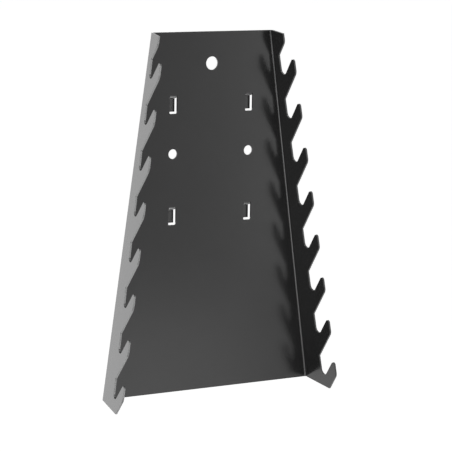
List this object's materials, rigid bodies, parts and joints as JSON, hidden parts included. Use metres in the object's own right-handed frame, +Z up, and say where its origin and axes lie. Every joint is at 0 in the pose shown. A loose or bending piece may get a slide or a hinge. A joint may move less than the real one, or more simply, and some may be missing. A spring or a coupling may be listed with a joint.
{
  "type": "spanner rack",
  "caption": "Wall rack for spanners, folded from steel sheet: a tapering back panel between toothed side flanges, with a hanging hole, screw holes and hooks for a slotted panel.",
  "frame": {"origin": "on the axis of the hanging hole, in the plane of the panel's back face", "axes": "+X to the right seen from the front, +Y back into the wall, +Z up"},
  "size_m": [0.204, 0.0491, 0.3041],
  "materials": {
    "powder_coat": "black semi-gloss powder coat on steel"
  },
  "bodies": {
    "root": {"back_panel": "powder_coat", "left_flange": "powder_coat", "right_flange": "powder_coat", "upper_left_hook": "powder_coat", "upper_right_hook": "powder_coat", "lower_left_hook": "powder_coat", "lower_right_hook": "powder_coat"}
  },
  "joints": []
}
